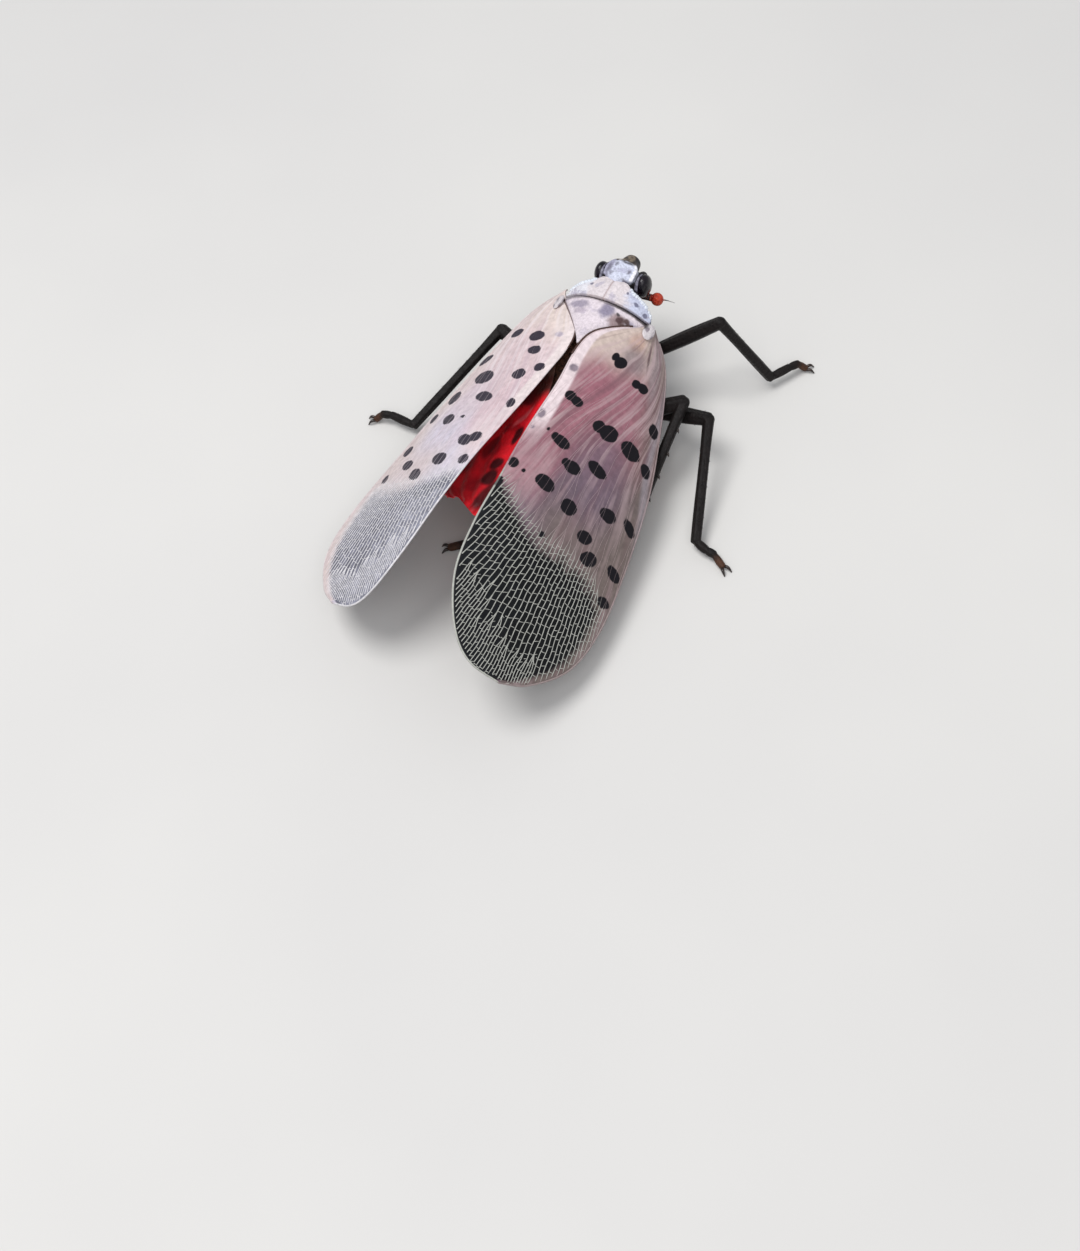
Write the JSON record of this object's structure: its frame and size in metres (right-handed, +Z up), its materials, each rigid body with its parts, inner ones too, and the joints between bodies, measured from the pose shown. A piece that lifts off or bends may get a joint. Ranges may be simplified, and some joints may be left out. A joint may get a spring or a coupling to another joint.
{
  "type": "spotted lanternfly model",
  "caption": "Life-size still model of an adult spotted lanternfly, standing with its spotted forewings held half open over red hindwings.",
  "frame": {"origin": "on the ground under the middle of the whole insect", "axes": "+Y towards the head, +X to the insect's right, +Z up"},
  "size_m": [0.0226, 0.0266, 0.0072],
  "materials": {
    "head": "mottled lilac and grey cuticle with a faint wax bloom",
    "eye": "dark facetted eye, glossy",
    "antenna": "orange red, finely pitted",
    "plate": "pale pinkish cuticle with grey lilac patches",
    "underside": "dark brown cuticle, satin",
    "abdomen": "yellow cuticle with black bands",
    "forewing": "veined membrane, pinkish grey with dark spots and a netted tip",
    "hindwing": "red membrane with black spots",
    "leg": "black brown cuticle, satin with fine hairs"
  },
  "bodies": {
    "root": {"thorax": "underside", "mesonotum": "plate", "pronotum": "plate", "abdomen": "abdomen", "head": "head", "rostrum": "leg", "eye_right": "eye", "antenna_right": "antenna", "tegula_right": "plate", "forewing_right": "forewing", "hindwing_right": "hindwing", "eye_left": "eye", "antenna_left": "antenna", "tegula_left": "plate", "forewing_left": "forewing", "hindwing_left": "hindwing", "coxa_fore_right": "leg", "femur_fore_right": "leg", "tibia_fore_right": "leg", "tarsus_fore_right": "leg", "coxa_mid_right": "leg", "femur_mid_right": "leg", "tibia_mid_right": "leg", "tarsus_mid_right": "leg", "coxa_hind_right": "leg", "femur_hind_right": "leg", "tibia_hind_right": "leg", "tarsus_hind_right": "leg", "coxa_fore_left": "leg", "femur_fore_left": "leg", "tibia_fore_left": "leg", "tarsus_fore_left": "leg", "coxa_mid_left": "leg", "femur_mid_left": "leg", "tibia_mid_left": "leg", "tarsus_mid_left": "leg", "coxa_hind_left": "leg", "femur_hind_left": "leg", "tibia_hind_left": "leg", "tarsus_hind_left": "leg"}
  },
  "joints": []
}
